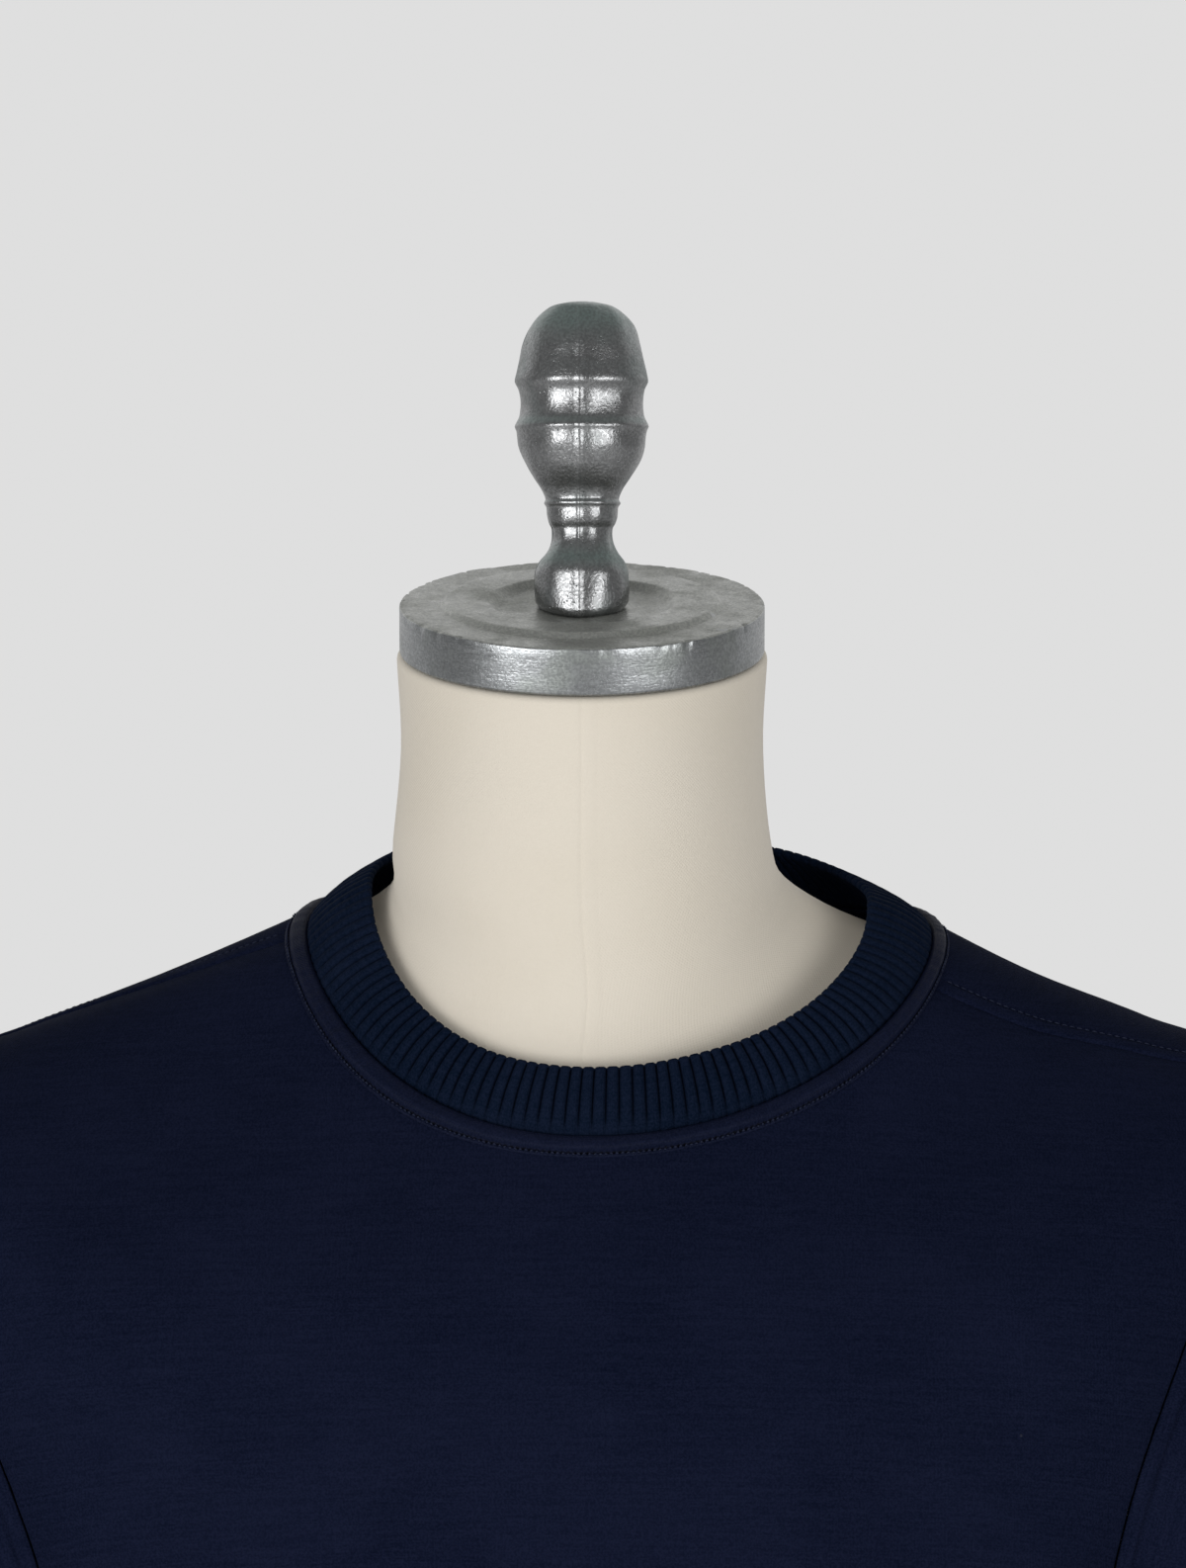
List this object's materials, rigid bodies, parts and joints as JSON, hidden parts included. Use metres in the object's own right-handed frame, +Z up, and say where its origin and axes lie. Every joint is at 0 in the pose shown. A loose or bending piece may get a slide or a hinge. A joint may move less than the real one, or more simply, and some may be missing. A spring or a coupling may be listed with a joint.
{
  "type": "crew neck sweater on a limbless dress form",
  "caption": "Long-sleeved crew neck sweater with ribbed collar, cuffs and hem, worn by a limbless dress form with a metal neck cap and finial on a round stand.",
  "frame": {"origin": "centre of the stand's underside, on the surface it stands on", "axes": "+Z up, the sweater's front faces -Y, +X is the wearer's left"},
  "size_m": [0.532, 0.3, 1.0819],
  "materials": {
    "knit": "smooth compact navy double knit, matt with a faint bloom",
    "rib": "navy rib, matt",
    "form_cloth": "cream cotton cover, matt",
    "cast_metal": "cast and brushed, satin",
    "stem_metal": "brushed",
    "stand_paint": "dark grey satin paint"
  },
  "bodies": {
    "root": {"front_body": "knit", "back_body": "knit", "sleeve_right": "knit", "sleeve_left": "knit", "neck_rib": "rib", "neck_strip": "knit", "hem_rib": "rib", "cuff_right": "rib", "cuff_left": "rib", "dress_form": "form_cloth", "neck_cap": "cast_metal", "finial": "cast_metal", "stand_stem": "stem_metal", "stand_base": "stand_paint"}
  },
  "joints": []
}
